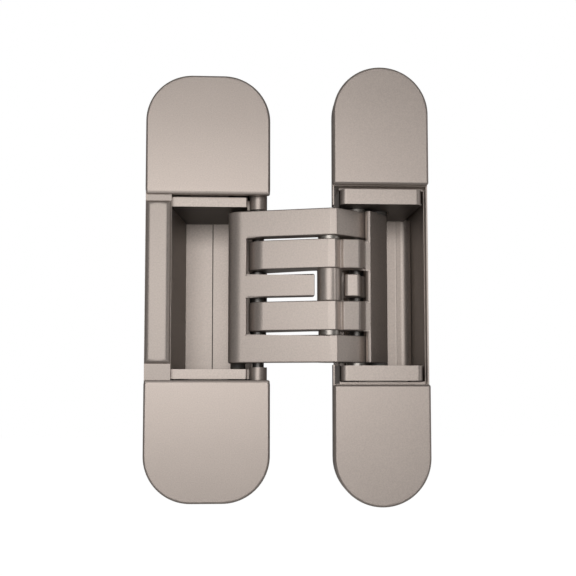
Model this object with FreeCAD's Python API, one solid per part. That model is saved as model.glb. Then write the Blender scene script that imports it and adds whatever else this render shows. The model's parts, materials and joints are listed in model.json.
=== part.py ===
import FreeCAD
import Part
import math
import os

# Concealed door hinge, drawn open at 180 degrees, in millimetres.
# X runs to the right along the two leaves, +Y runs into the door frame and Z is up.
# It is drawn with the frame leaf's face at y = 0. build() then moves every piece by the
# same amount, so that the origin is the middle of the back of the frame leaf's flange.

# Leaves
HINGE_HEIGHT = 110.0
FRAME_WIDTH = 32.0
DOOR_WIDTH = 24.0
LEAF_GAP = 15.6
DOOR_Y = -7.4
CUTTER_RADIUS = 12.0
COVER_THICK = 2.0
COVER_EDGE = 0.45
FLANGE_THICK = 3.0
FRAME_DEPTH = 30.0
DOOR_DEPTH = 28.5
RAIL_EDGE = 6.65
PILLOW_LOW = -19.8
PILLOW_HIGH = 22.3
PILLOW_ROUND = 1.5

EDGE = FRAME_WIDTH / 2
SEAT = COVER_THICK + FLANGE_THICK
DOOR_X = EDGE + LEAF_GAP + DOOR_WIDTH / 2
DOOR_EDGE = EDGE + LEAF_GAP

# Pivots of the linkage, seen from above with the leaves open
FRAME_PIVOT = (EDGE - 3.0, 5.0)
CENTRE_PIVOT = (EDGE + 15.0, -1.8)
DOOR_PIVOT = (DOOR_EDGE + 6.9, DOOR_Y + 9.6)
CLOSED_PIVOT_IN = 11.5
CLOSED_GAP = 5.1

# Sliding pins at the hooked ends of the arms
ARM_A_SLIDE_IN = 8.4
ARM_A_SLIDE_DEPTH = 12.5
ARM_B_SLIDE_IN = 12.9
ARM_B_SLIDE_DEPTH = 12.4
ARM_A_SLIDE = (EDGE - ARM_A_SLIDE_IN, ARM_A_SLIDE_DEPTH)
ARM_B_SLIDE = (DOOR_EDGE + ARM_B_SLIDE_IN, DOOR_Y + ARM_B_SLIDE_DEPTH)

# Layers of the two arms along the height
ARM_HALF = 19.5
LAYER_GAP = 1.2
MIDDLE_HALF = 2.8
FINGER_HEIGHT = 7.4
FACE_SLOPE = 14.0
FACE_START = EDGE - 5.8

# Inner edges of the covers, above the plates of the carriers
FRAME_COVER_INNER = ARM_HALF + 4.9
DOOR_COVER_INNER = ARM_HALF + 5.5

FINGER_LOW = MIDDLE_HALF + LAYER_GAP
FINGER_TOP = FINGER_LOW + FINGER_HEIGHT
OUTER_LOW = FINGER_TOP + LAYER_GAP

# Pins, sleeves and sliders
FRAME_PIN_RADIUS = 1.5
CENTRE_PIN_RADIUS = 1.8
DOOR_PIN_RADIUS = 1.8
SLIDE_PIN_RADIUS = 1.3
PIN_CLEARANCE = 0.06
PIN_CHAMFER = 0.3
FRAME_SLIDER_RADIUS = 2.0
DOOR_SLIDER_RADIUS = 2.5
TRACK_CLEARANCE = 0.15
TRACK_DEPTH = 1.4
TRACK_STEPS = 17
RUNNING_GAP = 0.1
FACE_GAP = 0.06

# Arm sections
ARM_A_THICK = 3.6
ARM_A_MIDDLE_THICK = 3.0
ARM_A_WEB = 4.8
ARM_A_LEFT = ARM_A_SLIDE[0] - ARM_A_WEB / 2
ARM_A_ROUND = 3.3
ARM_A_HOOK_RADIUS = 2.5
ARM_A_END_RADIUS = 2.9
BOSS_RADIUS = 3.2
SLEEVE_RADIUS = 3.1
SPACER_RADIUS = 2.6
ARM_B_END_RADIUS = 2.5
ARM_B_HOOK_RADIUS = 2.5
ARM_B_BAR = 1.8

# Frame carrier
FRAME_PLATE_INNER = ARM_HALF + 1.6
FRAME_PLATE_THICK = 2.5
FRAME_PLATE_END = EDGE - 5.9
FRAME_CARRIER_LEFT = -EDGE + 5.6
FRAME_CARRIER_RIGHT = EDGE - 3.5
FRAME_CARRIER_FRONT = 2.6
FRAME_CARRIER_BACK = FRAME_DEPTH - 2.7
FRAME_FLOOR = 1.6
FLOOR_SEAM = 0.2
CARRIER_WALL = 1.2
FRAME_WALL_DRAFT = 1.6
LUG_RADIUS = 2.3
FRAME_LUG_INNER = ARM_HALF + 1.1
FRAME_LUG_OUTER = FRAME_LUG_INNER + 3.9
HEIGHT_TRAVEL = 2.0
POCKET_GAP = 0.3

# Door carrier, in the leaf's own coordinates, with its sides closer together at the back
DOOR_PLATE_INNER = ARM_HALF + 0.8
DOOR_PLATE_THICK = 3.75
DOOR_CARRIER_LEFT = -DOOR_WIDTH / 2 + 1.9
DOOR_CARRIER_RIGHT = DOOR_WIDTH / 2 - 1.4
DOOR_CARRIER_FRONT = 1.6
DOOR_CARRIER_BACK = DOOR_DEPTH - 4.1
DOOR_LEFT_DRAFT = 1.8
DOOR_RIGHT_DRAFT = 0.7
DOOR_FLOOR = 1.8
DOOR_END_HALF = DOOR_WIDTH / 2 - 2.8
RAIL_INSET = 0.4
RAIL_RISE = 0.4
DEPTH_TRAVEL = 1.5

# Screws and the tabs that they hold
MOUNT_HOLE_RADIUS = 2.4
MOUNT_HEAD_RADIUS = 4.4
COUNTERSINK = 1.6
FRAME_SCREW_X = EDGE - 6.5
DOOR_SCREW_X = DOOR_WIDTH / 2 - 5.8
SCREW_Z = HINGE_HEIGHT / 2 - 11.0
CLAMP_Z = FRAME_PLATE_INNER + 9.7
CLAMP_THREAD_RADIUS = 2.5
CLAMP_HEAD_RADIUS = 4.2
CLAMP_HEAD_HEIGHT = 2.8
CLAMP_SOCKET = 1.5
ADJUST_Z = DOOR_PLATE_INNER + 10.2
ADJUST_THREAD_RADIUS = 2.4
ADJUST_HEAD_RADIUS = 4.0
ADJUST_HEAD_HEIGHT = 2.4
ADJUST_COLLAR = 0.9
ADJUST_SOCKET = 1.25
SOCKET_DEPTH = 1.8
HEAD_CHAMFER = 0.4
FRAME_TAB_HALF = 5.0
FRAME_TAB_TOP = 6.6
FRAME_TAB_THICK = 2.5
FRAME_TAB_END = CLAMP_Z + CLAMP_THREAD_RADIUS + HEIGHT_TRAVEL + 1.4
DOOR_TAB_HALF = 4.2
DOOR_TAB_TOP = 12.0
DOOR_TAB_THICK = 3.5
DOOR_TAB_END = ADJUST_Z + ADJUST_THREAD_RADIUS + 2.2
ADJUST_SHELF = 5.4
ADJUST_SHELF_THICK = 2.2
WELL_GAP = 0.4
FRAME_WELL_END = FRAME_TAB_END + HEIGHT_TRAVEL + WELL_GAP
FRAME_WELL_FLOOR = FRAME_TAB_TOP + FRAME_TAB_THICK + 0.1
DOOR_WELL_END = DOOR_TAB_END + WELL_GAP
FRAME_BODY_HALF = FRAME_WELL_END + 1.5
DOOR_BODY_HALF = DOOR_WELL_END + 2.2

# Longer than any piece, for cuts that go right through
BODY_REACH = HINGE_HEIGHT

# Spring legs of the covers
LEG_Z = 29.5
LEG_INSET = 1.9
LEG_WIDTH = 5.0
LEG_THICK = 1.2
LEG_GAP = 0.12


def turn(point, centre, degrees):
    angle = math.radians(degrees)
    dx = point[0] - centre[0]
    dy = point[1] - centre[1]
    x = centre[0] + dx * math.cos(angle) - dy * math.sin(angle)
    y = centre[1] + dx * math.sin(angle) + dy * math.cos(angle)
    return (x, y)


def bearing(start, end):
    return math.degrees(math.atan2(end[1] - start[1], end[0] - start[0]))


def swing_angles():
    """Angles that arm B and arm A turn through while the door turns 180 degrees."""
    closed_door = (EDGE - CLOSED_PIVOT_IN, DOOR_Y - CLOSED_GAP - DOOR_PIVOT[1])
    long_link = math.dist(FRAME_PIVOT, CENTRE_PIVOT)
    short_link = math.dist(CENTRE_PIVOT, DOOR_PIVOT)
    span = math.dist(FRAME_PIVOT, closed_door)
    along = (long_link ** 2 - short_link ** 2 + span ** 2) / (2 * span)
    across = math.sqrt(long_link ** 2 - along ** 2)
    ux = (closed_door[0] - FRAME_PIVOT[0]) / span
    uy = (closed_door[1] - FRAME_PIVOT[1]) / span
    centre = (FRAME_PIVOT[0] + along * ux + across * uy, FRAME_PIVOT[1] + along * uy - across * ux)
    arm_b = bearing(FRAME_PIVOT, centre) - bearing(FRAME_PIVOT, CENTRE_PIVOT)
    arm_a = bearing(centre, closed_door) - bearing(CENTRE_PIVOT, DOOR_PIVOT)
    return (arm_b % 360) - 360, (arm_a % 360) - 360


ARM_B_SWING, ARM_A_SWING = swing_angles()


def centre_at(share):
    return turn(CENTRE_PIVOT, FRAME_PIVOT, ARM_B_SWING * share)


def arm_a_slide_at(share):
    """Where arm A's sliding pin lies in the frame leaf."""
    centre = centre_at(share)
    moved = turn(ARM_A_SLIDE, CENTRE_PIVOT, ARM_A_SWING * share)
    return (moved[0] + centre[0] - CENTRE_PIVOT[0], moved[1] + centre[1] - CENTRE_PIVOT[1])


def arm_b_slide_at(share):
    """Where arm B's sliding pin lies in the door leaf, in that leaf's own coordinates."""
    centre = centre_at(share)
    slide = turn(ARM_B_SLIDE, FRAME_PIVOT, ARM_B_SWING * share)
    pivot = turn(DOOR_PIVOT, CENTRE_PIVOT, ARM_A_SWING * share)
    pivot = (pivot[0] + centre[0] - CENTRE_PIVOT[0], pivot[1] + centre[1] - CENTRE_PIVOT[1])
    offset = (slide[0] - pivot[0], slide[1] - pivot[1])
    back = turn(offset, (0.0, 0.0), 180.0 * share)
    return (DOOR_PIVOT[0] + back[0] - DOOR_X, DOOR_PIVOT[1] + back[1] - DOOR_Y)


ARM_A_PATH = [arm_a_slide_at(i / (TRACK_STEPS - 1)) for i in range(TRACK_STEPS)]
ARM_B_PATH = [arm_b_slide_at(i / (TRACK_STEPS - 1)) for i in range(TRACK_STEPS)]


def put(v, plane):
    if plane == "xz":
        return FreeCAD.Vector(v.x, 0, v.y)
    return FreeCAD.Vector(v.x, v.y, 0)


def outline(points, radii, plane="xy"):
    """Closed wire through the points, with an arc of the given radius at each corner."""
    if not isinstance(radii, (list, tuple)):
        radii = [radii] * len(points)
    count = len(points)
    starts = []
    ends = []
    middles = []
    for i in range(count):
        p = FreeCAD.Vector(points[i][0], points[i][1], 0)
        a = FreeCAD.Vector(points[i - 1][0], points[i - 1][1], 0) - p
        b = FreeCAD.Vector(points[(i + 1) % count][0], points[(i + 1) % count][1], 0) - p
        a.normalize()
        b.normalize()
        half = a.getAngle(b) / 2
        radius = radii[i]
        if radius <= 0 or half > math.pi / 2 - 0.002:
            starts.append(p)
            ends.append(p)
            middles.append(None)
            continue
        reach = radius / math.tan(half)
        bisector = a + b
        bisector.normalize()
        starts.append(p + a * reach)
        ends.append(p + b * reach)
        middles.append(p + bisector * (radius / math.sin(half) - radius))
    edges = []
    for i in range(count):
        if middles[i] is not None:
            arc = Part.Arc(put(starts[i], plane), put(middles[i], plane), put(ends[i], plane))
            edges.append(arc.toShape())
        after = starts[(i + 1) % count]
        if ends[i].distanceToPoint(after) > 1e-6:
            edges.append(Part.LineSegment(put(ends[i], plane), put(after, plane)).toShape())
    return Part.Wire(edges)


def prism(points, radii, z0, z1):
    """Solid with its outline seen from above and its length along Z."""
    face = Part.Face(outline(points, radii))
    solid = face.extrude(FreeCAD.Vector(0, 0, z1 - z0))
    solid.translate(FreeCAD.Vector(0, 0, z0))
    return solid


def slab(points, radii, y0, y1):
    """Solid with its outline seen from the front and its thickness along Y."""
    face = Part.Face(outline(points, radii, "xz"))
    solid = face.extrude(FreeCAD.Vector(0, y1 - y0, 0))
    solid.translate(FreeCAD.Vector(0, y0, 0))
    return solid


def box(x0, x1, y0, y1, z0, z1):
    return Part.makeBox(x1 - x0, y1 - y0, z1 - z0, FreeCAD.Vector(x0, y0, z0))


def rod(centre, radius, z0, z1):
    place = FreeCAD.Vector(centre[0], centre[1], z0)
    return Part.makeCylinder(radius, z1 - z0, place, FreeCAD.Vector(0, 0, 1))


def drill(x, z, radius, y0, y1):
    return Part.makeCylinder(radius, y1 - y0, FreeCAD.Vector(x, y0, z), FreeCAD.Vector(0, 1, 0))


def cone(x, z, radius0, radius1, y0, y1):
    place = FreeCAD.Vector(x, y0, z)
    return Part.makeCone(radius0, radius1, y1 - y0, place, FreeCAD.Vector(0, 1, 0))


def lifted(shape):
    """The shape mirrored in the hinge's middle plane, for the other end."""
    return shape.mirror(FreeCAD.Vector(0, 0, 0), FreeCAD.Vector(0, 0, 1))


def both(shape):
    return [shape, lifted(shape)]


def join(shapes):
    return shapes[0].fuse(shapes[1:]).removeSplitter()


def rectangle(x0, x1, z0, z1):
    return [(x0, z0), (x1, z0), (x1, z1), (x0, z1)]


def in_door(shape):
    """Moves a shape from the door leaf's own coordinates to its place beside the frame leaf."""
    shape.translate(FreeCAD.Vector(DOOR_X, DOOR_Y, 0))
    return shape


def meet(p, d, q, e):
    """Crossing of the line through p along d with the line through q along e."""
    cross = d[0] * e[1] - d[1] * e[0]
    t = ((q[0] - p[0]) * e[1] - (q[1] - p[1]) * e[0]) / cross
    return (p[0] + t * d[0], p[1] + t * d[1])


def touching(start, centre, radius):
    """Direction of the line from start that just touches a circle, on its front side."""
    size = math.dist(start, centre)
    angle = math.radians(bearing(start, centre)) - math.asin(radius / size)
    return (math.cos(angle), math.sin(angle))


def guide(path, radius, z0, z1):
    """Round-ended slot that leaves a slider of this radius free along its path."""
    reach = radius + TRACK_CLEARANCE
    x0 = min(p[0] for p in path) - reach
    x1 = max(p[0] for p in path) + reach
    y0 = min(p[1] for p in path) - reach
    y1 = max(p[1] for p in path) + reach
    return prism([(x0, y0), (x1, y0), (x1, y1), (x0, y1)], radius, z0, z1)


def face_y(x):
    """Front plane of both arms, which climbs from the frame leaf to the crest."""
    return -math.tan(math.radians(FACE_SLOPE)) * (x - FACE_START)


def along_face(x, depth):
    """Point at the given depth under the arms' front plane."""
    angle = math.radians(FACE_SLOPE)
    return (x + depth * math.sin(angle), face_y(x) + depth * math.cos(angle))


FACE_LINE = (math.cos(math.radians(-FACE_SLOPE)), math.sin(math.radians(-FACE_SLOPE)))

# Crest of the arms, the fall behind it to the door pivot, and the front of arm B's deep bar
CREST_LEFT = CENTRE_PIVOT[0]
CREST_RIGHT = CENTRE_PIVOT[0] + 1.7
CREST_TOP = face_y(CREST_LEFT) - 0.05
CREST_ROUND = 2.0
FALL = touching((CREST_RIGHT, CREST_TOP), DOOR_PIVOT, ARM_A_END_RADIUS)
BLOCK_LEFT = CREST_RIGHT + 1.7
BLOCK_WIDTH = 4.1
BLOCK_RIGHT = BLOCK_LEFT + BLOCK_WIDTH
BLOCK_TOP = CREST_TOP + 1.2
BAR_FRONT_IN = 10.0
BAR_FRONT_DEPTH = 5.4
BAR_FRONT = (DOOR_EDGE + BAR_FRONT_IN, DOOR_Y + BAR_FRONT_DEPTH)


def arm_a_profile(thick, with_end):
    """Outline of one finger of arm A, from its hook over the crest."""
    points = [(ARM_A_LEFT, face_y(ARM_A_LEFT)), (CREST_LEFT, face_y(CREST_LEFT))]
    radii = [ARM_A_ROUND, CREST_ROUND]
    under = along_face(CREST_LEFT, thick)
    if with_end:
        normal = (FALL[1], -FALL[0])
        r = ARM_A_END_RADIUS
        px, py = DOOR_PIVOT
        points.append((CREST_RIGHT, CREST_TOP))
        points.append((px + r * (FALL[0] + normal[0]), py + r * (FALL[1] + normal[1])))
        points.append((px + r * (FALL[0] - normal[0]), py + r * (FALL[1] - normal[1])))
        inner = (px - r * normal[0], py - r * normal[1])
        points.append(meet(inner, FALL, under, FACE_LINE))
        radii += [0.6, r * 0.99, r * 0.99, 2.0]
    else:
        points.append(under)
        radii.append(0.4)
    web = ARM_A_LEFT + ARM_A_WEB
    hook_low = ARM_A_SLIDE[1] + ARM_A_HOOK_RADIUS
    points.append(meet((web, 0.0), (0.0, 1.0), under, FACE_LINE))
    points += [(web, hook_low), (ARM_A_LEFT, hook_low)]
    radii += [1.2, ARM_A_WEB * 0.49, ARM_A_WEB * 0.49]
    return points, radii


def arm_a():
    points, radii = arm_a_profile(ARM_A_THICK, True)
    outer = prism(points, radii, OUTER_LOW, ARM_HALF)
    outer = outer.fuse(rod(CENTRE_PIVOT, BOSS_RADIUS, OUTER_LOW, ARM_HALF))
    web = ARM_A_LEFT + ARM_A_WEB
    low = FRAME_PIVOT[1] + 1.5
    top = [(ARM_A_LEFT, face_y(ARM_A_LEFT)), (web, face_y(web))]
    upright = prism(top + [(web, low), (ARM_A_LEFT, low)], [ARM_A_ROUND, 0.3, 0.6, 0.6],
                    -OUTER_LOW - 0.5, OUTER_LOW + 0.5)
    points, radii = arm_a_profile(ARM_A_MIDDLE_THICK, False)
    points = points[:4] + [(points[3][0], low), (ARM_A_LEFT, low)]
    middle = prism(points, [ARM_A_ROUND, 0, 0, 1.2, 0.6, 0.6], -MIDDLE_HALF, MIDDLE_HALF)
    room = rod(CENTRE_PIVOT, SLEEVE_RADIUS + 0.6, -FINGER_LOW, FINGER_LOW)
    beyond = CENTRE_PIVOT[0] - SLEEVE_RADIUS - 0.8
    end = box(beyond, beyond + BODY_REACH, -BODY_REACH, BODY_REACH, -FINGER_LOW, FINGER_LOW)
    middle = middle.cut(room).cut(end)
    body = join(both(outer) + [upright, middle])
    holes = [rod(CENTRE_PIVOT, CENTRE_PIN_RADIUS + PIN_CLEARANCE, -BODY_REACH, BODY_REACH)]
    holes.append(rod(DOOR_PIVOT, DOOR_PIN_RADIUS, -BODY_REACH, BODY_REACH))
    holes.append(rod(ARM_A_SLIDE, SLIDE_PIN_RADIUS, -BODY_REACH, BODY_REACH))
    return body.cut(holes)


def deep_bar():
    """Corners of arm B's deep bar: front left, front right, and both corners at its hook."""
    d = touching(BAR_FRONT, ARM_B_SLIDE, ARM_B_HOOK_RADIUS)
    n = (d[1], -d[0])
    touch = (ARM_B_SLIDE[0] + n[0] * ARM_B_HOOK_RADIUS, ARM_B_SLIDE[1] + n[1] * ARM_B_HOOK_RADIUS)
    low_left = (touch[0] - n[0] * ARM_B_BAR, touch[1] - n[1] * ARM_B_BAR)
    front_left = meet(low_left, d, BAR_FRONT, (1.0, 0.0))
    return front_left, BAR_FRONT, touch, low_left


def arm_b_finger_profile():
    """Outline of one finger of arm B, from the frame pivot over the crest to the deep bar."""
    left = FRAME_PIVOT[0] - ARM_B_END_RADIUS
    low = FRAME_PIVOT[1] + ARM_B_END_RADIUS
    front_left, front, touch, low_left = deep_bar()
    start = CREST_LEFT - 0.7
    points = [(left, face_y(left)), (start, face_y(start)), (CREST_RIGHT - 0.4, CREST_TOP - 0.1)]
    points += [(CREST_RIGHT + 1.0, CREST_TOP + 1.6), (BLOCK_LEFT, BLOCK_TOP - 0.2)]
    points += [(BLOCK_RIGHT, BLOCK_TOP), (front_left[0] + 1.0, front[1]), front, touch, low_left]
    slope = (touch[0] - front[0], touch[1] - front[1])
    bend = meet(low_left, slope, (0.0, DOOR_PIVOT[1] - 2.4), (1.0, 0.0))
    points += [bend, (DOOR_PIVOT[0] + 0.6, DOOR_PIVOT[1] - DOOR_PIN_RADIUS - 1.0)]
    points += [(CENTRE_PIVOT[0] + 1.5, CENTRE_PIVOT[1] + 3.2)]
    points += [(CENTRE_PIVOT[0] - 4.0, CENTRE_PIVOT[1] + 3.4)]
    points += [(FRAME_PIVOT[0] + 1.4, low), (left, low)]
    radii = [ARM_B_END_RADIUS * 2, CREST_ROUND, 0.5, 0.25, 0.4, 0.8, 0.5, 0.4, 0.0, 0.0]
    radii += [0.6, 1.0, 1.5, 4.0, ARM_B_END_RADIUS * 0.95, ARM_B_END_RADIUS * 0.98]
    return points, radii


def arm_b():
    points, radii = arm_b_finger_profile()
    finger = prism(points, radii, FINGER_LOW, FINGER_TOP)
    finger = finger.fuse(rod(CENTRE_PIVOT, BOSS_RADIUS, FINGER_LOW, FINGER_TOP))
    bar = prism(list(deep_bar()), [1.0, 0.4, 0.0, 0.0], -ARM_HALF, ARM_HALF)
    hook = rod(ARM_B_SLIDE, ARM_B_HOOK_RADIUS, -ARM_HALF, ARM_HALF)
    sleeve = rod(CENTRE_PIVOT, SLEEVE_RADIUS, -FINGER_LOW, FINGER_LOW)
    ridge = [(CENTRE_PIVOT[0] - 0.4, CENTRE_PIVOT[1] - SLEEVE_RADIUS + 0.1)]
    ridge += [(CREST_RIGHT - 0.3, CREST_TOP + 0.5), (CREST_RIGHT + 0.8, CREST_TOP + 2.2)]
    ridge += [(CENTRE_PIVOT[0] + 2.4, CENTRE_PIVOT[1]), (CENTRE_PIVOT[0] - 0.4, CENTRE_PIVOT[1])]
    brow = prism(ridge, [0, 0.4, 0.4, 0, 0], -FINGER_LOW, FINGER_LOW)
    body = join(both(finger) + [bar, hook, sleeve, brow])
    holes = [rod(CENTRE_PIVOT, CENTRE_PIN_RADIUS, -BODY_REACH, BODY_REACH)]
    holes.append(rod(FRAME_PIVOT, FRAME_PIN_RADIUS + PIN_CLEARANCE, -BODY_REACH, BODY_REACH))
    holes.append(rod(ARM_B_SLIDE, SLIDE_PIN_RADIUS, -BODY_REACH, BODY_REACH))
    return body.cut(holes)


def frame_carrier():
    px, py = FRAME_PIVOT
    left = FRAME_CARRIER_LEFT
    right = FRAME_CARRIER_RIGHT
    front = FRAME_CARRIER_FRONT
    back = FRAME_CARRIER_BACK
    shoulder = py + LUG_RADIUS - 0.7
    points = [(left, front), (FRAME_PLATE_END, front), (FRAME_PLATE_END, shoulder)]
    points += [(right, shoulder), (right, back), (left, back)]
    plate = prism(points, [1.2, 0.4, 0.0, 0.0, 1.0, 1.0], FRAME_PLATE_INNER,
                  FRAME_PLATE_INNER + FRAME_PLATE_THICK)
    lug = rod(FRAME_PIVOT, LUG_RADIUS, FRAME_LUG_INNER, FRAME_LUG_OUTER)
    foot = box(px - LUG_RADIUS, px + LUG_RADIUS, py, shoulder + 0.9, FRAME_LUG_INNER, FRAME_LUG_OUTER)
    tab = box(-FRAME_TAB_HALF, FRAME_TAB_HALF, FRAME_TAB_TOP, FRAME_TAB_TOP + FRAME_TAB_THICK,
              FRAME_PLATE_INNER + 0.5, FRAME_TAB_END)
    slot_width = CLAMP_THREAD_RADIUS + TRACK_CLEARANCE
    slot_half = HEIGHT_TRAVEL + slot_width
    slot = slab(rectangle(-slot_width, slot_width, CLAMP_Z - slot_half, CLAMP_Z + slot_half),
                slot_width * 0.98, FRAME_TAB_TOP - 1, FRAME_TAB_TOP + FRAME_TAB_THICK + 1)
    end = plate.fuse([lug, foot, tab]).cut(slot)
    groove = guide(ARM_A_PATH, FRAME_SLIDER_RADIUS, FRAME_PLATE_INNER - 1, FRAME_PLATE_INNER + TRACK_DEPTH)
    end = end.cut(groove)
    inner = FRAME_PLATE_INNER + 0.1
    floor = box(left, right, back - FRAME_FLOOR, back, -inner, inner)
    pad = prism([(FLOOR_SEAM, back - 1.0), (FLOOR_SEAM, back - FRAME_FLOOR - 0.2),
                 (right - 1.0, back - FRAME_FLOOR - 0.6), (right - 1.0, back - 1.0)], 0, -inner, inner)
    seam = box(FLOOR_SEAM - 0.3, FLOOR_SEAM, back - FRAME_FLOOR - 1, back - FRAME_FLOOR + 0.4, -inner, inner)
    inside = left + CARRIER_WALL
    wall = [(left, front), (inside, front), (inside + FRAME_WALL_DRAFT, back - FRAME_FLOOR)]
    wall_left = prism(wall + [(left, back - FRAME_FLOOR)], 0, -inner, inner)
    wall_right = box(right - CARRIER_WALL, right, py + ARM_B_END_RADIUS + 1.5, back, -inner, inner)
    body = join(both(end) + [floor, pad, wall_left, wall_right])
    return body.cut([rod(FRAME_PIVOT, FRAME_PIN_RADIUS, -BODY_REACH, BODY_REACH), seam])


def leaf_flange(width, y0, y1):
    half = HINGE_HEIGHT / 2
    radius = min(CUTTER_RADIUS, width / 2 - 0.01)
    return slab(rectangle(-width / 2, width / 2, -half, half), radius, y0, y1)


def screw_holes(x):
    """Countersunk fixing holes of one leaf, two at each end."""
    seat = COVER_THICK
    cuts = []
    for sx in (-x, x):
        for sz in (-SCREW_Z, SCREW_Z):
            cuts.append(drill(sx, sz, MOUNT_HOLE_RADIUS, seat - 1, SEAT + 1))
            cuts.append(cone(sx, sz, MOUNT_HEAD_RADIUS, MOUNT_HOLE_RADIUS, seat, seat + COUNTERSINK))
    return cuts


def frame_housing():
    flange = leaf_flange(FRAME_WIDTH, COVER_THICK, SEAT)
    body = slab(rectangle(-EDGE + 2.5, EDGE - 1.5, -FRAME_BODY_HALF, FRAME_BODY_HALF),
                CUTTER_RADIUS, SEAT - 0.5, FRAME_DEPTH)
    solid = join([flange, body])
    pocket_x0 = FRAME_CARRIER_LEFT - POCKET_GAP
    pocket_x1 = FRAME_CARRIER_RIGHT + POCKET_GAP
    pocket_z = FRAME_LUG_OUTER + HEIGHT_TRAVEL + 0.2
    cuts = [box(pocket_x0, pocket_x1, -1, FRAME_CARRIER_BACK + POCKET_GAP, -pocket_z, pocket_z)]
    side_low = FRAME_PIVOT[1] + ARM_B_END_RADIUS + 0.5
    cuts.append(box(FRAME_PIVOT[0] - 4, FRAME_WIDTH, -1, side_low, -pocket_z, pocket_z))
    well_half = FRAME_TAB_HALF + WELL_GAP
    well = slab(rectangle(-well_half, well_half, pocket_z - 1, FRAME_WELL_END), 0.4, -1, FRAME_WELL_FLOOR)
    thread = drill(0, CLAMP_Z, CLAMP_THREAD_RADIUS, FRAME_WELL_FLOOR - 1, FRAME_WELL_FLOOR + 6)
    cuts += both(well) + both(thread) + screw_holes(FRAME_SCREW_X)
    cuts += both(leg_slots(FRAME_WIDTH))
    solid = solid.cut(cuts)
    rail = FRAME_CARRIER_LEFT - POCKET_GAP
    lip = -EDGE + RAIL_EDGE
    pillow = box(-EDGE, lip, 0.0, FRAME_CARRIER_FRONT - RUNNING_GAP, PILLOW_LOW, PILLOW_HIGH)
    rounded = [e for e in pillow.Edges if e.BoundBox.YMax < 0.01]
    pillow = pillow.makeFillet(PILLOW_ROUND, rounded)
    ledge = box(-EDGE, lip, COVER_THICK - 0.9, FRAME_CARRIER_FRONT - RUNNING_GAP,
                -FRAME_COVER_INNER, FRAME_COVER_INNER)
    under = box(-EDGE, rail, COVER_THICK - 0.9, SEAT - 1, -FRAME_COVER_INNER, FRAME_COVER_INNER)
    return join([solid, ledge, under, pillow])


def leg_boxes(width, spare, y0, y1):
    """Places of the two spring legs of a cover, near the edges of the leaf."""
    reach_x = LEG_THICK / 2 + spare
    reach_z = LEG_WIDTH / 2 + spare
    legs = []
    for side in (-1, 1):
        x = side * (width / 2 - LEG_INSET)
        legs.append(box(x - reach_x, x + reach_x, y0, y1, LEG_Z - reach_z, LEG_Z + reach_z))
    return legs


def leg_slots(width):
    slots = leg_boxes(width, LEG_GAP, COVER_THICK - 0.5, SEAT + 0.3)
    return slots[0].fuse(slots[1])


def cover(width, inner):
    """Clip-on cover of one end of a leaf, drawn for the upper end."""
    radius = min(CUTTER_RADIUS, width / 2 - 0.01)
    points = rectangle(-width / 2, width / 2, inner, HINGE_HEIGHT / 2)
    plate = slab(points, [0.6, 0.6, radius, radius], 0.0, COVER_THICK)
    rim = [e for e in plate.Edges if e.BoundBox.YMax < 0.001]
    plate = plate.makeChamfer(COVER_EDGE, rim)
    return join([plate] + leg_boxes(width, 0.0, COVER_THICK - 0.3, SEAT))


def door_side(depth, left):
    """Where the door carrier's left or right side lies at this depth."""
    share = (depth - DOOR_CARRIER_FRONT) / (DOOR_CARRIER_BACK - DOOR_CARRIER_FRONT)
    if left:
        return DOOR_CARRIER_LEFT + DOOR_LEFT_DRAFT * share
    return DOOR_CARRIER_RIGHT - DOOR_RIGHT_DRAFT * share


def door_outline(y0, y1, spare):
    """Outline of the door carrier seen from above, grown by spare on both sides."""
    return [(door_side(y0, True) - spare, y0), (door_side(y0, False) + spare, y0),
            (door_side(y1, False) + spare, y1), (door_side(y1, True) - spare, y1)]


def door_carrier():
    front = DOOR_CARRIER_FRONT
    back = DOOR_CARRIER_BACK
    inner = DOOR_PLATE_INNER
    reach = inner + 0.1
    plate = prism(door_outline(front, back, 0.0), [1.5, 1.5, 1.0, 1.0], inner, inner + DOOR_PLATE_THICK)
    tab = box(-DOOR_TAB_HALF, DOOR_TAB_HALF, DOOR_TAB_TOP, DOOR_TAB_TOP + DOOR_TAB_THICK,
              inner + 0.5, DOOR_TAB_END)
    bore = drill(0, ADJUST_Z, ADJUST_THREAD_RADIUS + PIN_CLEARANCE, DOOR_TAB_TOP - 1,
                 DOOR_TAB_TOP + DOOR_TAB_THICK + 1)
    groove = guide(ARM_B_PATH, DOOR_SLIDER_RADIUS, inner - 1, inner + TRACK_DEPTH)
    end = plate.fuse(tab).cut([bore, groove])
    shell = prism(door_outline(front + 0.6, back, 0.0), 0, -reach, reach)
    room = door_outline(front - 1, back - DOOR_FLOOR, -CARRIER_WALL)
    shell = shell.cut(prism(room, [0, 0, 1.5, 1.5], -BODY_REACH, BODY_REACH))
    side_low = DOOR_PIVOT[1] - DOOR_Y + ARM_A_END_RADIUS + 0.6
    shell = shell.cut(box(-DOOR_WIDTH, 0, -1, side_low, -BODY_REACH, BODY_REACH))
    body = in_door(join(both(end) + [shell]))
    return body.cut(rod(DOOR_PIVOT, DOOR_PIN_RADIUS + PIN_CLEARANCE, -BODY_REACH, BODY_REACH))


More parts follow.
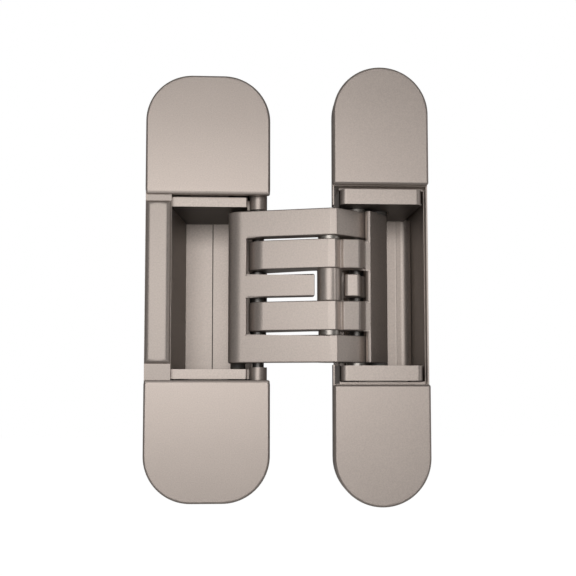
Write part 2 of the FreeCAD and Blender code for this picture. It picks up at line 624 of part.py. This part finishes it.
def door_housing():
    top = COVER_THICK
    half = DOOR_WIDTH / 2
    pocket_z = DOOR_PLATE_INNER + DOOR_PLATE_THICK + POCKET_GAP
    pocket_y = DOOR_CARRIER_BACK + DEPTH_TRAVEL + POCKET_GAP
    flange = leaf_flange(DOOR_WIDTH, top, SEAT)
    ends = slab(rectangle(-DOOR_END_HALF, DOOR_END_HALF, -DOOR_BODY_HALF, DOOR_BODY_HALF),
                DOOR_END_HALF * 0.85, SEAT - 0.5, DOOR_DEPTH)
    middle = prism(door_outline(SEAT - 0.5, DOOR_DEPTH, 1.1), [0, 0, 1.5, 1.5],
                   -pocket_z - 1.1, pocket_z + 1.1)
    rails = box(-half + RAIL_INSET, half - RAIL_INSET, top - RAIL_RISE, SEAT, -DOOR_COVER_INNER,
                DOOR_COVER_INNER)
    solid = join([flange, ends, middle, rails])
    cuts = [prism(door_outline(-1, pocket_y, POCKET_GAP), 0, -pocket_z, pocket_z)]
    side_low = DOOR_PIVOT[1] - DOOR_Y + ARM_A_END_RADIUS + DEPTH_TRAVEL + 0.5
    side_z = ARM_HALF + 0.6
    cuts.append(box(-DOOR_WIDTH, DOOR_CARRIER_LEFT + DOOR_LEFT_DRAFT, -1, side_low, -side_z, side_z))
    well_half = DOOR_TAB_HALF + WELL_GAP
    well = box(-well_half, well_half, ADJUST_SHELF + ADJUST_SHELF_THICK,
               DOOR_TAB_TOP + DOOR_TAB_THICK + DEPTH_TRAVEL + WELL_GAP, pocket_z - 1, DOOR_WELL_END)
    head = drill(0, ADJUST_Z, ADJUST_HEAD_RADIUS + 0.3, -1, ADJUST_SHELF)
    neck = drill(0, ADJUST_Z, ADJUST_THREAD_RADIUS + PIN_CLEARANCE, 0, DOOR_DEPTH - 2.5)
    cuts += both(well) + both(head) + both(neck) + screw_holes(DOOR_SCREW_X)
    cuts += both(leg_slots(DOOR_WIDTH))
    return in_door(solid.cut(cuts))


def hexagon(z, flat, y0, y1):
    """Six-sided key socket, on the middle line of a leaf."""
    points = []
    for i in range(6):
        angle = math.radians(60 * i)
        corner = flat / math.cos(math.radians(30))
        points.append((corner * math.cos(angle), z + corner * math.sin(angle)))
    return slab(points, 0, y0, y1)


def screw_head(z, radius, height, seat):
    head = drill(0, z, radius, seat - height, seat)
    rim = [e for e in head.Edges if e.BoundBox.YMax < seat - height + 0.001]
    return head.makeChamfer(HEAD_CHAMFER, rim)


def clamp_screw():
    """Clamp screw of the height setting, drawn for the upper end."""
    seat = FRAME_TAB_TOP - RUNNING_GAP
    head = screw_head(CLAMP_Z, CLAMP_HEAD_RADIUS, CLAMP_HEAD_HEIGHT, seat)
    shank = drill(0, CLAMP_Z, CLAMP_THREAD_RADIUS, seat - 0.5, FRAME_WELL_FLOOR + 5)
    top = seat - CLAMP_HEAD_HEIGHT
    return join([head, shank]).cut(hexagon(CLAMP_Z, CLAMP_SOCKET, top - 1, top + SOCKET_DEPTH))


def adjust_screw():
    """Depth-setting screw of the door leaf, drawn for the upper end."""
    seat = ADJUST_SHELF - RUNNING_GAP
    head = screw_head(ADJUST_Z, ADJUST_HEAD_RADIUS, ADJUST_HEAD_HEIGHT, seat)
    end = DOOR_TAB_TOP + DOOR_TAB_THICK + DEPTH_TRAVEL + 0.2
    shank = drill(0, ADJUST_Z, ADJUST_THREAD_RADIUS, seat - 0.5, end)
    collar_y = ADJUST_SHELF + ADJUST_SHELF_THICK + RUNNING_GAP
    collar = drill(0, ADJUST_Z, ADJUST_THREAD_RADIUS + 1, collar_y, collar_y + ADJUST_COLLAR)
    top = seat - ADJUST_HEAD_HEIGHT
    socket = hexagon(ADJUST_Z, ADJUST_SOCKET, top - 1, top + SOCKET_DEPTH)
    return in_door(join([head, shank, collar]).cut(socket))


def ring(centre, outer, inner, z0, z1):
    return rod(centre, outer, z0, z1).cut(rod(centre, inner, z0 - 1, z1 + 1))


def pin(centre, radius, half):
    solid = rod(centre, radius, -half, half)
    ends = [e for e in solid.Edges if abs(abs(e.CenterOfMass.z) - half) < 0.001]
    return solid.makeChamfer(PIN_CHAMFER, ends)


def door_spacer():
    """Block on the door pivot between the middle fingers, flush with arm B's blocks."""
    px, py = DOOR_PIVOT
    front = BLOCK_TOP - 0.1
    points = [(BLOCK_LEFT + 0.3, front), (BLOCK_RIGHT - 0.1, front), (px + 0.8, py - 3.2)]
    points += [(px + 1.9, py), (px - 1.9, py), (BLOCK_LEFT + 0.6, front + 3.0)]
    block = prism(points, [1.0, 0.8, 0.6, 0, 0, 1.2], -MIDDLE_HALF, MIDDLE_HALF)
    body = join([block, rod(DOOR_PIVOT, SPACER_RADIUS, -MIDDLE_HALF, MIDDLE_HALF)])
    return body.cut(rod(DOOR_PIVOT, DOOR_PIN_RADIUS, -BODY_REACH, BODY_REACH))


def build():
    nodes = {}
    nodes["frame_housing"] = frame_housing()
    nodes["frame_cover_top"] = cover(FRAME_WIDTH, FRAME_COVER_INNER)
    nodes["frame_cover_bottom"] = lifted(cover(FRAME_WIDTH, FRAME_COVER_INNER))
    nodes["frame_clamp_screw_top"] = clamp_screw()
    nodes["frame_clamp_screw_bottom"] = lifted(clamp_screw())
    nodes["frame_carrier"] = frame_carrier()
    nodes["frame_pivot_pin"] = pin(FRAME_PIVOT, FRAME_PIN_RADIUS, FRAME_LUG_OUTER)
    sleeve_half = FINGER_LOW - FACE_GAP
    nodes["frame_pivot_sleeve"] = ring(FRAME_PIVOT, FRAME_PIN_RADIUS + 0.8, FRAME_PIN_RADIUS,
                                       -sleeve_half, sleeve_half)
    nodes["arm_b"] = arm_b()
    nodes["arm_b_slide_pin"] = pin(ARM_B_SLIDE, SLIDE_PIN_RADIUS, DOOR_PLATE_INNER + TRACK_DEPTH - 0.2)
    nodes["centre_pin"] = pin(CENTRE_PIVOT, CENTRE_PIN_RADIUS, ARM_HALF - 0.4)
    nodes["arm_a"] = arm_a()
    nodes["arm_a_slide_pin"] = pin(ARM_A_SLIDE, SLIDE_PIN_RADIUS, FRAME_PLATE_INNER + TRACK_DEPTH - 0.2)
    nodes["door_carrier"] = door_carrier()
    nodes["door_pivot_pin"] = pin(DOOR_PIVOT, DOOR_PIN_RADIUS, DOOR_PLATE_INNER + DOOR_PLATE_THICK)
    nodes["door_pivot_spacer"] = door_spacer()
    nodes["door_housing"] = door_housing()
    nodes["door_cover_top"] = in_door(cover(DOOR_WIDTH, DOOR_COVER_INNER))
    nodes["door_cover_bottom"] = lifted(nodes["door_cover_top"])
    nodes["door_adjust_screw_top"] = adjust_screw()
    nodes["door_adjust_screw_bottom"] = lifted(nodes["door_adjust_screw_top"])
    pairs = {}
    pairs["centre_washer"] = ring(CENTRE_PIVOT, CENTRE_PIN_RADIUS + 1.0, CENTRE_PIN_RADIUS,
                                  FINGER_TOP, OUTER_LOW - FACE_GAP)
    pairs["arm_a_slider"] = ring(ARM_A_SLIDE, FRAME_SLIDER_RADIUS, SLIDE_PIN_RADIUS,
                                 ARM_HALF, FRAME_PLATE_INNER + TRACK_DEPTH - 0.15)
    pairs["arm_b_slider"] = ring(ARM_B_SLIDE, DOOR_SLIDER_RADIUS, SLIDE_PIN_RADIUS,
                                 ARM_HALF, DOOR_PLATE_INNER + TRACK_DEPTH - 0.15)
    pairs["door_pivot_washer"] = ring(DOOR_PIVOT, DOOR_PIN_RADIUS + 1.0, DOOR_PIN_RADIUS,
                                      ARM_HALF, DOOR_PLATE_INNER - FACE_GAP)
    pairs["frame_pivot_washer"] = ring(FRAME_PIVOT, FRAME_PIN_RADIUS + 0.6, FRAME_PIN_RADIUS,
                                       FINGER_TOP + FACE_GAP, FINGER_TOP + 0.8)
    for name, shape in pairs.items():
        nodes[name + "_top"] = shape
        nodes[name + "_bottom"] = lifted(shape)
    for shape in nodes.values():
        shape.translate(FreeCAD.Vector(0, -SEAT, 0))
    return nodes


if __name__ == "__main__":
    os.makedirs("parts", exist_ok=True)
    for name, shape in build().items():
        shape.exportStep("parts/" + name + ".step")
        print(name, shape.isValid(), len(shape.Solids), round(shape.Volume, 1))
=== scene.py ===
import bpy
import json
import math
from mathutils import Matrix, Vector
from mathutils.bvhtree import BVHTree


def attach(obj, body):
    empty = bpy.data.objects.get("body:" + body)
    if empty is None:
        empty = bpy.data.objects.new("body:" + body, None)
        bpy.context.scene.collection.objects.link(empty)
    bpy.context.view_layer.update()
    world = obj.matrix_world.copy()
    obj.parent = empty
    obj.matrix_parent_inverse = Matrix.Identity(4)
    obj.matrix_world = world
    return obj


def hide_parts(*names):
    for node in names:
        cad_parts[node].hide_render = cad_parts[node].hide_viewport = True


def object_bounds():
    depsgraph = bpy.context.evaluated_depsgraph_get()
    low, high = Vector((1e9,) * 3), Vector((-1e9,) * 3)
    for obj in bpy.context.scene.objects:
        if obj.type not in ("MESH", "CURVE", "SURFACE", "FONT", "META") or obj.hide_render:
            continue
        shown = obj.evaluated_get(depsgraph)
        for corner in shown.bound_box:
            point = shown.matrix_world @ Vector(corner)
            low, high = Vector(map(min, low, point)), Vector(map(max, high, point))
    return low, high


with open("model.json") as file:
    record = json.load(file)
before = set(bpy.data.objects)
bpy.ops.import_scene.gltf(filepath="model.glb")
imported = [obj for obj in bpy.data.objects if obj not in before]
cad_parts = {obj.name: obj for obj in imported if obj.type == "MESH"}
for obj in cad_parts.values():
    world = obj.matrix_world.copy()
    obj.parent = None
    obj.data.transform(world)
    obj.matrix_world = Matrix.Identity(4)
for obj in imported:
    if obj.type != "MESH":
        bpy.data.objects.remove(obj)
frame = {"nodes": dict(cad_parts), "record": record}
cad_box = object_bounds()

MM = 0.001

# Camera, as fitted to the leaves' edges
VIEW_AZIMUTH = -2.63
VIEW_ELEVATION = -3.5
VIEW_DISTANCE = 194.22 * MM
VIEW_ROLL = -0.01
VIEW_TARGET = Vector((20.39 * MM, -9.0 * MM, -12.57 * MM))
VIEW_LENS = 48.56
VIEW_SHIFT_Y = 0.081

# Light and floor
ROOM_LIGHT = 0.13
FLOOR_COLOUR = 0.9
FLOOR_DROP = 90.0 * MM
FLOOR_SIZE = 3.0
KEY_POWER = 2.4
KEY_PLACE = (-0.08, -0.80, 0.10)
KEY_SIZE = (0.70, 0.36)
SIDE_POWER = 0.35
SIDE_PLACE = (0.75, -0.20, 0.05)
SIDE_SIZE = (0.30, 0.50)

# Door leaf's own place, and the walls of its pocket in the leaf's own coordinates
DOOR_X = 43.6 * MM
DOOR_Y = -12.4 * MM
POCKET_WALL = 11.45 * MM
POCKET_END = 24.3 * MM
RIM_END = 24.9 * MM
SIDE_END = 20.0 * MM
FLOOR_FRONT = 22.6 * MM
FLOOR_BACK = 24.4 * MM
FLOOR_ROUND = 2.4 * MM
PLATE_INNER = 20.3 * MM

# How far the frame's covers reach further in than the solids
COVER_REACH = 0.5 * MM

# Farthest a rounded edge may lie from the shape that it rounds, in its own width
ROUND_CAP = 0.45

BODY_OF = {node: body for body, nodes in frame["record"]["behaviour"]["bodies"].items()
           for node in nodes}


def add_camera():
    data = bpy.data.cameras.new("studio_camera")
    data.sensor_width = 36.0
    data.lens = VIEW_LENS
    data.shift_y = VIEW_SHIFT_Y
    data.clip_start = 0.01
    data.clip_end = 10.0
    camera = bpy.data.objects.new("studio_camera", data)
    bpy.context.scene.collection.objects.link(camera)
    a = math.radians(VIEW_AZIMUTH)
    e = math.radians(VIEW_ELEVATION)
    look = Vector((-math.sin(a) * math.cos(e), math.cos(a) * math.cos(e), -math.sin(e)))
    turn = look.to_track_quat("-Z", "Y").to_matrix().to_4x4()
    roll = Matrix.Rotation(math.radians(VIEW_ROLL), 4, "Z")
    camera.matrix_world = Matrix.Translation(VIEW_TARGET - look * VIEW_DISTANCE) @ turn @ roll
    bpy.context.scene.camera = camera


def add_lamp(name, place, target, size, power):
    data = bpy.data.lights.new(name, "AREA")
    data.shape = "RECTANGLE"
    data.size = size[0]
    data.size_y = size[1]
    data.energy = power
    lamp = bpy.data.objects.new(name, data)
    bpy.context.scene.collection.objects.link(lamp)
    lamp.location = place
    lamp.rotation_euler = (Vector(target) - Vector(place)).to_track_quat("-Z", "Y").to_euler()


def add_world():
    """Dim grey room light, seen as white by the camera."""
    world = bpy.data.worlds.new("studio_room")
    world.use_nodes = True
    bpy.context.scene.world = world
    nodes = world.node_tree.nodes
    links = world.node_tree.links
    room = nodes["Background"]
    room.inputs["Color"].default_value = (1.0, 1.0, 1.0, 1.0)
    room.inputs["Strength"].default_value = ROOM_LIGHT
    rays = nodes.new("ShaderNodeLightPath")
    white = nodes.new("ShaderNodeBackground")
    white.inputs["Color"].default_value = (1.0, 1.0, 1.0, 1.0)
    white.inputs["Strength"].default_value = 1.0
    mix = nodes.new("ShaderNodeMixShader")
    links.new(rays.outputs["Is Camera Ray"], mix.inputs[0])
    links.new(room.outputs[0], mix.inputs[1])
    links.new(white.outputs[0], mix.inputs[2])
    links.new(mix.outputs[0], nodes["World Output"].inputs["Surface"])


def add_floor():
    """Pale floor under the hinge, white to the camera where only the room light falls."""
    level = cad_box[0][2] - FLOOR_DROP
    bpy.ops.mesh.primitive_plane_add(size=FLOOR_SIZE, location=(0.0, 0.0, level))
    floor = bpy.context.object
    floor.name = "studio_floor"
    material = bpy.data.materials.new("pale_floor")
    material.use_nodes = True
    nodes = material.node_tree.nodes
    links = material.node_tree.links
    shader = nodes["Principled BSDF"]
    shader.inputs["Base Color"].default_value = (FLOOR_COLOUR, FLOOR_COLOUR, FLOOR_COLOUR, 1.0)
    shader.inputs["Roughness"].default_value = 0.9
    shader.inputs["Emission Color"].default_value = (1.0, 1.0, 1.0, 1.0)
    rays = nodes.new("ShaderNodeLightPath")
    lift = nodes.new("ShaderNodeMath")
    lift.operation = "MULTIPLY"
    lift.inputs[1].default_value = 1.0 - FLOOR_COLOUR * ROOM_LIGHT
    links.new(rays.outputs["Is Camera Ray"], lift.inputs[0])
    links.new(lift.outputs[0], shader.inputs["Emission Strength"])
    floor.data.materials.append(material)


def satin_metal(name, light, dark, metal, rough, grain, spread, bump):
    """Sprayed or cast metal: fine grain in colour, roughness and height over a soft unevenness."""
    material = bpy.data.materials.new(name)
    material.use_nodes = True
    nodes = material.node_tree.nodes
    links = material.node_tree.links
    shader = nodes["Principled BSDF"]
    shader.inputs["Metallic"].default_value = metal
    where = nodes.new("ShaderNodeTexCoord")
    fine = nodes.new("ShaderNodeTexNoise")
    fine.inputs["Scale"].default_value = grain
    fine.inputs["Detail"].default_value = 3.0
    fine.inputs["Roughness"].default_value = 0.6
    broad = nodes.new("ShaderNodeTexNoise")
    broad.inputs["Scale"].default_value = grain * 0.03
    broad.inputs["Detail"].default_value = 2.0
    links.new(where.outputs["Object"], fine.inputs["Vector"])
    links.new(where.outputs["Object"], broad.inputs["Vector"])
    blend = nodes.new("ShaderNodeMath")
    blend.operation = "MULTIPLY_ADD"
    blend.inputs[1].default_value = 0.8
    links.new(fine.outputs["Fac"], blend.inputs[0])
    low = nodes.new("ShaderNodeMath")
    low.operation = "MULTIPLY"
    low.inputs[1].default_value = 0.2
    links.new(broad.outputs["Fac"], low.inputs[0])
    links.new(low.outputs[0], blend.inputs[2])
    tint = nodes.new("ShaderNodeValToRGB")
    tint.color_ramp.elements[0].position = 0.5 - spread
    tint.color_ramp.elements[0].color = (*dark, 1.0)
    tint.color_ramp.elements[1].position = 0.5 + spread
    tint.color_ramp.elements[1].color = (*light, 1.0)
    links.new(blend.outputs[0], tint.inputs["Fac"])
    links.new(tint.outputs["Color"], shader.inputs["Base Color"])
    dull = nodes.new("ShaderNodeMapRange")
    dull.inputs["From Min"].default_value = 0.3
    dull.inputs["From Max"].default_value = 0.7
    dull.inputs["To Min"].default_value = rough - 0.05
    dull.inputs["To Max"].default_value = rough + 0.05
    links.new(blend.outputs[0], dull.inputs["Value"])
    links.new(dull.outputs["Result"], shader.inputs["Roughness"])
    relief = nodes.new("ShaderNodeBump")
    relief.inputs["Strength"].default_value = bump
    relief.inputs["Distance"].default_value = 0.02 * MM
    links.new(fine.outputs["Fac"], relief.inputs["Height"])
    links.new(relief.outputs["Normal"], shader.inputs["Normal"])
    return material


def champagne_cover():
    return satin_metal("champagne_cover", (0.56, 0.485, 0.435), (0.46, 0.395, 0.355), 0.7, 0.42, 3200.0, 0.16, 0.25)


def champagne_cast():
    return satin_metal("champagne_cast", (0.57, 0.495, 0.445), (0.45, 0.39, 0.35), 0.7, 0.42, 2600.0, 0.17, 0.35)


def champagne_inside():
    return satin_metal("champagne_inside", (0.57, 0.495, 0.445), (0.44, 0.38, 0.34), 0.7, 0.42, 2200.0, 0.18, 0.4)


def painted_shade_cast():
    """Darker copy of the cast finish: painted shade on the frame leaf's front faces between its covers and on the
    two-finger arm's block faces.
    """
    return satin_metal("painted_shade_cast", (0.46, 0.40, 0.36), (0.36, 0.312, 0.28), 0.7, 0.42, 2600.0, 0.17, 0.35)


def painted_side_shade():
    """Darker copy of the cast finish: painted shade on the walls inside the pockets and on a strip of the two-finger
    arm's bar.
    """
    return satin_metal("painted_side_shade", (0.44, 0.385, 0.345), (0.33, 0.285, 0.255), 0.7, 0.46, 2200.0, 0.18, 0.4)


def painted_pocket_shadow():
    """Near-black copy of the cast finish: painted shadow on the ends and ceilings of the pockets."""
    return satin_metal("painted_pocket_shadow", (0.15, 0.13, 0.115), (0.10, 0.086, 0.076), 0.7, 0.5, 2200.0, 0.18, 0.4)


def ground_steel():
    return satin_metal("ground_steel", (0.16, 0.15, 0.14), (0.10, 0.095, 0.09), 0.9, 0.35, 1500.0, 0.2, 0.2)


def pressed_washer():
    return satin_metal("pressed_washer", (0.52, 0.48, 0.44), (0.38, 0.35, 0.32), 0.9, 0.38, 1800.0, 0.2, 0.2)


def slider_plastic():
    return satin_metal("slider_plastic", (0.16, 0.145, 0.13), (0.10, 0.09, 0.08), 0.0, 0.5, 2000.0, 0.2, 0.3)


def zinc_screw():
    return satin_metal("zinc_screw", (0.58, 0.58, 0.57), (0.40, 0.40, 0.41), 0.95, 0.32, 1400.0, 0.22, 0.3)


def only(piece):
    """Selects one piece and nothing else."""
    bpy.ops.object.select_all(action="DESELECT")
    piece.select_set(True)
    bpy.context.view_layer.objects.active = piece


def smooth(piece, degrees):
    only(piece)
    bpy.ops.object.shade_smooth_by_angle(angle=math.radians(degrees))


def block(name, low, high):
    """Box between two corners, with its place in its mesh."""
    centre = [(a + b) / 2 for a, b in zip(low, high)]
    bpy.ops.mesh.primitive_cube_add(size=1.0, location=centre)
    piece = bpy.context.object
    piece.name = name
    piece.scale = [b - a for a, b in zip(low, high)]
    bpy.ops.object.transform_apply(location=True, rotation=True, scale=True)
    return piece


def in_door(u, v, z):
    return (DOOR_X + u, DOOR_Y + v, z)


def cut(piece, tool):
    """Takes the tool's shape out of the piece and removes the tool."""
    carve = piece.modifiers.new("carve", "BOOLEAN")
    carve.operation = "DIFFERENCE"
    carve.solver = "EXACT"
    carve.object = tool
    only(piece)
    bpy.ops.object.modifier_apply(modifier=carve.name)
    bpy.data.objects.remove(tool)


def pull(piece, low, high, move):
    """Moves the vertices inside a box."""
    only(piece)
    bpy.ops.object.mode_set(mode="EDIT")
    bpy.ops.mesh.select_all(action="DESELECT")
    bpy.ops.object.mode_set(mode="OBJECT")
    for vertex in piece.data.vertices:
        vertex.select = all(a <= c <= b for a, c, b in zip(low, vertex.co, high))
    bpy.ops.object.mode_set(mode="EDIT")
    bpy.ops.transform.translate(value=move)
    bpy.ops.object.mode_set(mode="OBJECT")


def merged_copy(node):
    """Copy of a CAD node whose loose triangles are merged."""
    source = frame["nodes"][node]
    piece = bpy.data.objects.new(node + "_finished", source.data.copy())
    bpy.context.scene.collection.objects.link(piece)
    only(piece)
    bpy.ops.object.mode_set(mode="EDIT")
    bpy.ops.mesh.select_all(action="SELECT")
    bpy.ops.mesh.remove_doubles(threshold=0.002 * MM)
    bpy.ops.object.mode_set(mode="OBJECT")
    bpy.ops.mesh.customdata_custom_splitnormals_clear()
    return piece


def faces_in(piece, low, high, facing, material):
    """Gives a second material to the faces in a box that face one way; used here for painted shade."""
    piece.data.materials.append(material)
    index = len(piece.data.materials) - 1
    for face in piece.data.polygons:
        inside = all(a <= c <= b for a, c, b in zip(low, face.center, high))
        if inside and face.normal.dot(Vector(facing)) > 0.9:
            face.material_index = index


def hold_rounding(piece, shape, limit):
    """Brings vertices that a rounding has thrown out back to the shape."""
    for vertex in piece.data.vertices:
        place, _, _, far = shape.find_nearest(vertex.co)
        if far > limit:
            vertex.co = place


def reach_in(piece):
    """Brings the straight inner edge of a frame cover closer to the middle."""
    sign = 1.0 if piece.data.vertices[0].co.z > 0 else -1.0
    inner = min(abs(vertex.co.z) for vertex in piece.data.vertices)
    ends = sorted((sign * (inner - 0.3 * MM), sign * (inner + 0.3 * MM)))
    pull(piece, (-20.0 * MM, -12.0 * MM, ends[0]), (20.0 * MM, 20.0 * MM, ends[1]), (0.0, 0.0, -sign * COVER_REACH))


def widen_pocket(piece):
    """Brings the right wall of the door leaf's pocket out to the edge, and thins its rims."""
    pull(piece, in_door(9.3 * MM, 20.0 * MM, -26.0 * MM), in_door(13.0 * MM, 30.0 * MM, 26.0 * MM), (0.9 * MM, 0.0, 0.0))
    cut(piece, block("pocket_tool", in_door(8.0 * MM, -2.0 * MM, -POCKET_END), in_door(POCKET_WALL, 26.2 * MM, POCKET_END)))
    cut(piece, block("rim_tool", in_door(-11.7 * MM, -2.0 * MM, -RIM_END), in_door(11.6 * MM, 4.2 * MM, RIM_END)))
    for low, high in ((-RIM_END, -SIDE_END), (SIDE_END, RIM_END)):
        cut(piece, block("side_tool", in_door(-11.7 * MM, -2.0 * MM, low), in_door(-10.2 * MM, 14.0 * MM, high)))


def open_right(piece):
    """Takes the door carrier's right wall away, whose place the leaf's own wall takes."""
    cut(piece, block("wall_tool", in_door(7.9 * MM, -2.0 * MM, -PLATE_INNER), in_door(13.0 * MM, 30.0 * MM, PLATE_INNER)))


def floor_corner(material):
    """Right end of the door carrier's floor, with its hollow rounding up to the wall."""
    corner = block("door_floor_corner", in_door(7.85 * MM, FLOOR_FRONT - FLOOR_ROUND, -PLATE_INNER),
                   in_door(POCKET_WALL - 0.15 * MM, FLOOR_BACK, PLATE_INNER))
    start = POCKET_WALL - 0.15 * MM - FLOOR_ROUND
    cut(corner, block("flat_tool", in_door(7.0 * MM, 10.0 * MM, -22.0 * MM), in_door(start, FLOOR_FRONT, 22.0 * MM)))
    bpy.ops.mesh.primitive_cylinder_add(vertices=96, radius=FLOOR_ROUND, depth=50.0 * MM,
                                        location=in_door(start, FLOOR_FRONT - FLOOR_ROUND, 0.0))
    cut(corner, bpy.context.object)
    corner.data.materials.append(material)
    smooth(corner, 32)
    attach(corner, "door_carrier_body")


def tuck_wall(piece):
    """Tucks the front of the frame carrier's left wall behind the pillow."""
    pull(piece, (-9.5 * MM, -2.6 * MM, -21.3 * MM), (-9.0 * MM, -2.2 * MM, 21.3 * MM), (-0.6 * MM, 0.0, 0.0))


def soften_web(piece):
    """Draws the rounding at the left end of the three-finger arm out over more of its web."""
    for vertex in piece.data.vertices:
        x, y, _ = vertex.co
        if 5.15 * MM < x < 7.75 * MM and y < -1.0 * MM:
            vertex.co.x = 5.2 * MM + (x - 5.2 * MM) * 1.52
            vertex.co.y = -1.18 * MM + (y + 1.18 * MM) * 1.10


def lift_finger(piece):
    """Lifts the upper finger of the two-finger arm a little."""
    pull(piece, (0.0, -12.0 * MM, 3.9 * MM), (40.3 * MM, 20.0 * MM, 11.5 * MM), (0.0, 0.0, 0.3 * MM))


def finished_copy(node, round_mm, steps, material, shape=None):
    """Copy of a CAD node with rounded edges and even shading, which stands for the node."""
    piece = merged_copy(node)
    if shape is not None:
        shape(piece)
        only(piece)
    if round_mm > 0:
        rounding = piece.modifiers.new("edge_round", "BEVEL")
        rounding.width = round_mm * MM
        rounding.segments = steps
        rounding.limit_method = "ANGLE"
        rounding.angle_limit = math.radians(38)
        rounding.use_clamp_overlap = False
        rounding.loop_slide = False
        shape = BVHTree.FromPolygons([vertex.co.copy() for vertex in piece.data.vertices],
                                     [tuple(face.vertices) for face in piece.data.polygons])
        bpy.ops.object.modifier_apply(modifier=rounding.name)
        hold_rounding(piece, shape, ROUND_CAP * round_mm * MM)
    piece.data.materials.clear()
    piece.data.materials.append(material)
    smooth(piece, 32)
    level = piece.modifiers.new("even_shading", "WEIGHTED_NORMAL")
    level.weight = 100
    level.keep_sharp = True
    bpy.ops.object.modifier_apply(modifier=level.name)
    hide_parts(node)
    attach(piece, BODY_OF[node])
    return piece


def paint(nodes, material):
    """Gives CAD nodes that stay as they are their finish."""
    for node in nodes:
        part = frame["nodes"][node]
        if part.material_slots:
            for held in part.material_slots:
                held.material = material
        else:
            part.data.materials.append(material)


add_camera()
add_world()
add_floor()
bpy.context.scene.view_settings.view_transform = "Standard"

cover_finish = champagne_cover()
cast_finish = champagne_cast()
inside_finish = champagne_inside()

for end in ("top", "bottom"):
    finished_copy("frame_cover_" + end, 0.12, 2, cover_finish, reach_in)
    finished_copy("door_cover_" + end, 0.12, 2, cover_finish)
frame_leaf = finished_copy("frame_housing", 0.0, 0, cast_finish)
door_leaf = finished_copy("door_housing", 0.0, 0, cast_finish, widen_pocket)
frame_inside = finished_copy("frame_carrier", 0.0, 0, inside_finish, tuck_wall)
door_inside = finished_copy("door_carrier", 0.0, 0, inside_finish, open_right)

# Painted shade: a darker copy of the cast on the frame leaf's front faces between its covers.
painted_shade_finish = painted_shade_cast()
faces_in(frame_leaf, (-17.0 * MM, -6.0 * MM, -26.0 * MM), (-8.0 * MM, -1.0 * MM, 26.0 * MM), (0.0, -1.0, 0.0),
         painted_shade_finish)
# Painted shade for the pocket walls.
side_shade_finish = painted_side_shade()
# Painted shadow for the pocket ends and ceilings.
pocket_shadow_finish = painted_pocket_shadow()
# Painted shade on the frame carrier's left pocket wall.
faces_in(frame_inside, (-11.0 * MM, -4.0 * MM, -21.5 * MM), (-8.0 * MM, 17.5 * MM, 21.5 * MM), (1.0, 0.0, 0.0),
         side_shade_finish)
# Painted shade on the door leaf's right pocket wall.
faces_in(door_leaf, in_door(8.0 * MM, 0.0, -24.5 * MM), in_door(12.0 * MM, 24.0 * MM, 24.5 * MM), (-1.0, 0.0, 0.0),
         side_shade_finish)
# Painted shadow on the faces at the back end of the frame carrier's pocket.
for facing in ((1.0, 0.0, 0.0), (-1.0, 0.0, 0.0), (0.0, -1.0, 0.0)):
    faces_in(frame_inside, (-0.15 * MM, 20.55 * MM, -21.2 * MM), (0.25 * MM, 21.3 * MM, 21.2 * MM), facing, pocket_shadow_finish)
# Painted shadow on the pocket ceilings of both carriers, above and below.
for low, high, facing in ((15.0 * MM, 21.5 * MM, (0.0, 0.0, -1.0)), (-21.5 * MM, -15.0 * MM, (0.0, 0.0, 1.0))):
    faces_in(frame_inside, (-11.0 * MM, -4.0 * MM, low), (12.0 * MM, 25.0 * MM, high), facing, pocket_shadow_finish)
    faces_in(door_inside, in_door(-12.0 * MM, 0.0, low), in_door(12.0 * MM, 24.0 * MM, high), facing, pocket_shadow_finish)
floor_corner(inside_finish)
finished_copy("arm_a", 0.3, 3, cast_finish, soften_web)
long_arm = finished_copy("arm_b", 0.25, 3, cast_finish, lift_finger)
# Painted shade on the block faces of the two-finger arm, which turn away from the light.
faces_in(long_arm, (34.5 * MM, -9.4 * MM, -11.5 * MM), (38.8 * MM, -8.5 * MM, 11.5 * MM), (0.0, -1.0, 0.0),
         painted_shade_finish)
# Painted shade on the bar's front strip, where the two-finger arm's fingers would shade it.
for low, high in ((-11.3 * MM, -4.3 * MM), (4.3 * MM, 11.3 * MM)):
    faces_in(long_arm, (40.3 * MM, -7.1 * MM, low), (41.4 * MM, -6.9 * MM, high), (0.0, -1.0, 0.0), side_shade_finish)
finished_copy("door_pivot_spacer", 0.25, 3, cast_finish)

steel = ground_steel()
paint(["frame_pivot_pin", "centre_pin", "door_pivot_pin", "arm_a_slide_pin", "arm_b_slide_pin"], steel)
washers = pressed_washer()
sliders = slider_plastic()
screws = zinc_screw()
paint(["frame_pivot_sleeve"], steel)
for end in ("top", "bottom"):
    paint(["centre_washer_" + end, "door_pivot_washer_" + end], washers)
    paint(["frame_pivot_washer_" + end], steel)
    paint(["arm_a_slider_" + end, "arm_b_slider_" + end], sliders)
    paint(["frame_clamp_screw_" + end, "door_adjust_screw_" + end], screws)

add_lamp("key_light", KEY_PLACE, (0.02, 0.0, 0.0), KEY_SIZE, KEY_POWER)
add_lamp("side_light", SIDE_PLACE, (0.03, 0.0, 0.0), SIDE_SIZE, SIDE_POWER)
